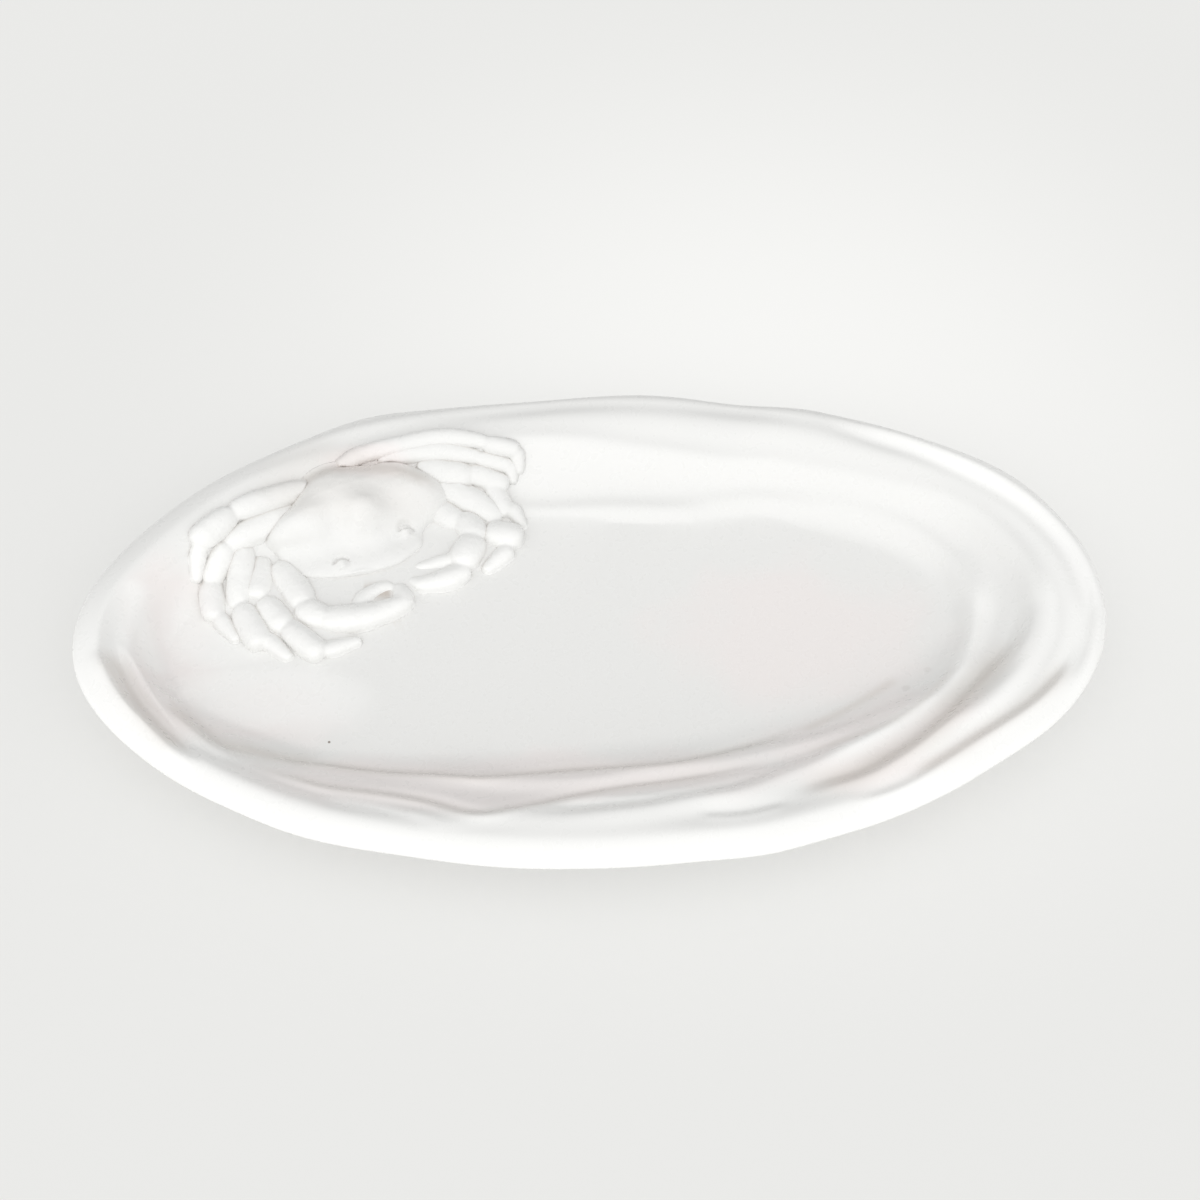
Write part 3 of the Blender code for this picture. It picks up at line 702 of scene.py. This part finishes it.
class PLATTER_OT_dish(bpy.types.Operator):
    """Smooth the dish, and leave in it the unevenness and the finger lines of a hand-pressed slab"""

    bl_idname = "platter.dish"
    bl_label = "Dish"

    def execute(self, context):
        settings = context.scene.platter_dish
        dish = copy_of("platter_body", "glazed_dish")
        apply_modifier(dish, "SUBSURF", levels=settings.fineness, render_levels=settings.fineness)
        smooth(dish, settings.smoothing)
        low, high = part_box("platter_body")
        moves = []
        for vert in dish.data.vertices:
            share = clamp((vert.co.z - low.z) / (high.z - low.z))
            wave = noise.noise(vert.co / settings.wave)
            moves.append(vert.normal * wave * settings.wave_depth * share)
        shift(dish, moves)
        for line in STROKES:
            stroke(dish, *line)
        for line in BANDS:
            band(dish, *line)
        finish_piece(dish, ["platter_body"], white_glaze(context.scene.platter_glaze))
        return {"FINISHED"}


class PLATTER_OT_foot(bpy.types.Operator):
    """Round the edges of the foot ring, which stands bare of glaze"""

    bl_idname = "platter.foot"
    bl_label = "Foot ring"

    def execute(self, context):
        foot = copy_of("foot_ring", "bare_foot_ring")
        apply_modifier(foot, "BEVEL", width=FOOT_BEVEL, segments=2, limit_method="ANGLE")
        finish_piece(foot, ["foot_ring"], bare_biscuit(context.scene.platter_glaze))
        return {"FINISHED"}


class PLATTER_OT_body(bpy.types.Operator):
    """Cover the crab's shell, mouth and eyes with one skin of glaze"""

    bl_idname = "platter.body"
    bl_label = "Crab body"

    def execute(self, context):
        settings = context.scene.platter_crab
        body = glazed_skin(
            BODY_NODES[:2], "crab_body", settings, settings.body_fill, BODY_COARSENESS * settings.voxel,
            BODY_SOFTNESS * settings.smoothing)
        apply_modifier(body, "SUBSURF", levels=1, render_levels=1)
        self.tip_forward(body)
        for eye in BODY_NODES[2:]:
            self.model_eye(body, eye, settings)
        flare(body, skins("glazed_dish"), BODY_FLARE * settings.fillet)
        finish_piece(body, BODY_NODES, white_glaze(context.scene.platter_glaze))
        return {"FINISHED"}

    def tip_forward(self, body):
        """Raise the brow of the shell, let its back fall away, and draw its front out under the right eye."""
        low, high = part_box("shell")
        middle = (low + high) / 2
        moves = []
        for vert in body.data.vertices:
            place = vert.co - middle
            back = place.dot(CRAB_BACK) / SHELL_HALF_DEPTH
            up = clamp((vert.co.z - low.z) / (high.z - low.z))
            brow = BROW_HEIGHT * math.exp(-((back - BROW_PLACE) / BROW_WIDTH) ** 2)
            fall = BACK_FALL * clamp(back - BACK_START)
            side = clamp(place.dot(CRAB_ACROSS) / SHELL_HALF_WIDTH)
            front = clamp(FRONT_START - back)
            draw = CRAB_ACROSS * FRONT_DRAW * MM * side * side * front
            moves.append(Vector((0, 0, (brow - fall) * MM * up)) + draw)
        shift(body, moves)
        stroke(body, "ridge", *MOUTH_RIDGE, MOUTH_LINE)

    def model_eye(self, body, eye, settings):
        """Raise the low bump of an eye, and cut the arch of its socket behind it."""
        low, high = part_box(eye)
        middle = (low + high) / 2
        middle += (sum(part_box("shell"), Vector()) / 2 - middle).normalized() * settings.eye_inset
        bump = [(middle - CRAB_BACK * reach * MM) / MM for reach in EYE_REACHES]
        stroke(body, "ridge", *EYE_BUMP, [(point.x, point.y) for point in bump])
        arch = []
        for degrees in SOCKET_TURNS:
            turn = math.radians(degrees)
            toward = CRAB_ACROSS * math.cos(turn) + CRAB_BACK * math.sin(turn)
            point = (middle + toward * SOCKET_RADIUS * MM) / MM
            arch.append((point.x, point.y))
        stroke(body, "ridge", *SOCKET_ARCH, arch)


class PLATTER_OT_limbs(bpy.types.Operator):
    """Cover each claw and each leg with its own skin of glaze"""

    bl_idname = "platter.limbs"
    bl_label = "Crab limbs"

    def execute(self, context):
        settings = context.scene.platter_crab
        hosts = skins("glazed_dish")
        for limb in (*CLAWS, *LEGS):
            piece = glazed_skin(
                nodes_of(limb), limb, settings, settings.limb_fill, settings.voxel, settings.smoothing)
            flare(piece, hosts, settings.fillet)
            finish_piece(piece, nodes_of(limb), white_glaze(context.scene.platter_glaze))
        return {"FINISHED"}


class PLATTER_OT_bed(bpy.types.Operator):
    """Fill the gaps between the limbs with the slip that holds them, and paint shade into the creases, the
    back of the shell and the hollow of the claw, and light onto the near sides of the limbs
    """

    bl_idname = "platter.bed"
    bl_label = "Crab bed"

    def execute(self, context):
        settings = context.scene.platter_crab
        names = ["crab_body", *CLAWS, *LEGS]
        corners = [Vector(corner) for name in names for corner in bpy.data.objects[name].bound_box]
        low = Vector([min(corner[i] for corner in corners) - BED_MARGIN for i in range(2)])
        high = Vector([max(corner[i] for corner in corners) + BED_MARGIN for i in range(2)])
        count = [int((high[i] - low[i]) / settings.bed_cell) for i in range(2)]
        bpy.ops.object.select_all(action="DESELECT")
        bpy.ops.mesh.primitive_grid_add(x_subdivisions=count[0], y_subdivisions=count[1], size=1.0)
        bed = context.object
        bed.name = bed.data.name = "crab_bed"
        spread = Matrix.Diagonal((*(high - low), 1, 1))
        bed.data.transform(Matrix.Translation(((low + high) / 2).to_3d()) @ spread)
        floor, relief = self.heights(bed, skins("glazed_dish"), skins(*names))
        shape = (count[1] + 1, count[0] + 1)
        fill = self.closed(relief.reshape(shape), settings)
        fill = self.blurred(fill * settings.bed_share, BED_BLUR).ravel()
        shift(bed, [Vector((0, 0, z + f - settings.bed_edge)) for z, f in zip(floor, fill)])
        drop(bed, fill < BED_TRIM * settings.bed_edge)
        smooth(bed, BED_PASSES)
        apply_modifier(bed, "SOLIDIFY", thickness=BED_THICKNESS, offset=-1.0)
        finish_piece(bed, [], white_glaze(context.scene.platter_glaze))
        # Painted shade in the creases, on the back of the shell and in the claw's hollow, and painted light
        # on the limbs' near sides
        self.paint_crease_shade_and_lit_sides([*names, "crab_bed"], settings.crease)
        band(bpy.data.objects["crab_body"], *SHELL_BACK_SHADE)
        for name in ("crab_bed", "glazed_dish"):
            band(bpy.data.objects[name], *CLAW_HOLLOW_SHADE)
        return {"FINISHED"}

    def paint_crease_shade_and_lit_sides(self, names, reach):
        """Paint shade on the crab where its faces close in on each other and on its sides away from the
        light, and paint light on the near sides of its limbs.
        """
        corners, faces = [], []
        for name in [*names, "glazed_dish"]:
            mesh = bpy.data.objects[name].data
            faces += [[len(corners) + i for i in face.vertices] for face in mesh.polygons]
            corners += [vert.co.copy() for vert in mesh.vertices]
        tree = BVHTree.FromPolygons(corners, faces)
        for name in names:
            obj = bpy.data.objects[name]
            # Painted shade: darker where faces close in, and on the sides that face away from the light
            for value, vert in zip(layer_of(obj, "stain_and_shade").data, obj.data.vertices):
                away = tree.find_nearest(vert.co + vert.normal * reach)[3]
                far = clamp(CREASE_TURN + vert.normal.dot(FAR_SIDE))
                value.value = CREASE_STRENGTH * far * clamp(CREASE_START - away / reach)
            if name in (*CLAWS, *LEGS):
                # Painted light: whiter on the near sides of the limbs, which face the light
                for value, vert in zip(layer_of(obj, "thick_and_lit").data, obj.data.vertices):
                    near = clamp(LIMB_FADE_END - vert.co.y / LIMB_FADE)
                    value.value = near * clamp(LIMB_TURN - LIMB_TURN_GAIN * vert.normal.dot(FAR_SIDE))

    def heights(self, bed, dish, crab):
        """Height of the dish under each point of the bed, and of the crab over the dish."""
        down = Vector((0, 0, -1))
        floor, relief = [], []
        for vert in bed.data.vertices:
            start = Vector((vert.co.x, vert.co.y, ABOVE))
            ground = (dish[0].ray_cast(start, down)[0] or Vector()).z
            tops = [hit.z for hit in (skin.ray_cast(start, down)[0] for skin in crab) if hit]
            floor.append(ground)
            relief.append(max([0.0, *(top - ground for top in tops)]))
        return floor, np.array(relief)

    def closed(self, field, settings):
        """Fill each hollow of the field that is narrower than twice the reach, and draw its edge in."""
        reaches = settings.bed_reach, settings.bed_reach + settings.bed_inset
        for extreme, length in zip((np.maximum, np.minimum), reaches):
            reach = round(length / settings.bed_cell)
            padded = np.pad(field, reach, mode="edge")
            result = field.copy()
            for dx in range(-reach, reach + 1):
                for dy in range(-reach, reach + 1):
                    if dx * dx + dy * dy <= reach * reach:
                        rows = slice(reach + dy, reach + dy + field.shape[0])
                        columns = slice(reach + dx, reach + dx + field.shape[1])
                        result = extreme(result, padded[rows, columns])
            field = result
        return field

    def blurred(self, field, passes):
        """Even out a field by the mean of each point and its eight neighbours."""
        for _ in range(passes):
            padded = np.pad(field, 1, mode="edge")
            field = sum(
                padded[1 + dy:1 + dy + field.shape[0], 1 + dx:1 + dx + field.shape[1]]
                for dx in (-1, 0, 1) for dy in (-1, 0, 1)) / 9
        return field


class PLATTER_OT_stage(bpy.types.Operator):
    """Set up the table, the light and the camera"""

    bl_idname = "platter.stage"
    bl_label = "Stage"

    def execute(self, context):
        settings = context.scene.platter_stage
        self.lay_table(settings)
        self.light(context, settings)
        self.aim_camera(context, settings)
        context.scene.view_settings.view_transform = "Standard"
        return {"FINISHED"}

    def lay_table(self, settings):
        bpy.ops.object.select_all(action="DESELECT")
        bpy.ops.mesh.primitive_plane_add(size=TABLE_SIZE, location=(0, 0, CAD_BOX[0][2]))
        table = bpy.context.object
        table.name = "table"
        table.data.materials.append(pale_table(settings))

    def light(self, context, settings):
        world = bpy.data.worlds.new("studio")
        world.use_nodes = True
        tree = world.node_tree
        sky = tree.nodes["Background"]
        sky.inputs["Color"].default_value = (1, 1, 1, 1)
        toward = add_node(tree, "ShaderNodeTexCoord").outputs["Generated"]
        front = add_node(tree, "ShaderNodeVectorMath", {
            0: toward, 1: Vector(settings.front).normalized(),
        }, operation="DOT_PRODUCT")
        level = add_node(tree, "ShaderNodeMapRange", {
            "Value": front.outputs["Value"], "From Min": -1.0, "From Max": 1.0,
            "To Min": settings.dim, "To Max": settings.bright,
        })
        tree.links.new(level.outputs["Result"], sky.inputs["Strength"])
        context.scene.world = world

    def aim_camera(self, context, settings):
        data = bpy.data.cameras.new("photo_camera")
        data.sensor_fit = "HORIZONTAL"
        data.sensor_width = SENSOR_WIDTH
        data.lens = settings.lens
        camera = bpy.data.objects.new("photo_camera", data)
        context.scene.collection.objects.link(camera)
        level = math.cos(settings.elevation)
        back = Vector((
            math.sin(settings.azimuth) * level,
            -math.cos(settings.azimuth) * level,
            math.sin(settings.elevation),
        ))
        camera.location = Vector(settings.target) + back * settings.distance
        camera.rotation_euler = (-back).to_track_quat("-Z", "Y").to_euler()
        context.scene.camera = camera


class PLATTER_PT_panel(bpy.types.Panel):
    """Steps of the build, in order"""

    bl_label = "Oval crab platter"
    bl_idname = "PLATTER_PT_panel"
    bl_space_type = "VIEW_3D"
    bl_region_type = "UI"
    bl_category = "Platter"

    def draw(self, context):
        for step in STEPS:
            self.layout.operator(step.bl_idname)


GROUPS = {
    "platter_glaze": GlazeSettings,
    "platter_dish": DishSettings,
    "platter_crab": CrabSettings,
    "platter_stage": StageSettings,
}
STEPS = (
    PLATTER_OT_dish, PLATTER_OT_foot, PLATTER_OT_body, PLATTER_OT_limbs, PLATTER_OT_bed, PLATTER_OT_stage,
)


def register():
    for cls in (*GROUPS.values(), *STEPS, PLATTER_PT_panel):
        bpy.utils.register_class(cls)
    for name, group in GROUPS.items():
        setattr(bpy.types.Scene, name, PointerProperty(type=group))


def unregister():
    for name in GROUPS:
        delattr(bpy.types.Scene, name)
    for cls in (PLATTER_PT_panel, *reversed(STEPS), *GROUPS.values()):
        bpy.utils.unregister_class(cls)


def main():
    register()
    bpy.ops.platter.dish()
    bpy.ops.platter.foot()
    bpy.ops.platter.body()
    bpy.ops.platter.limbs()
    bpy.ops.platter.bed()
    bpy.ops.platter.stage()


if __name__ == "__main__":
    main()
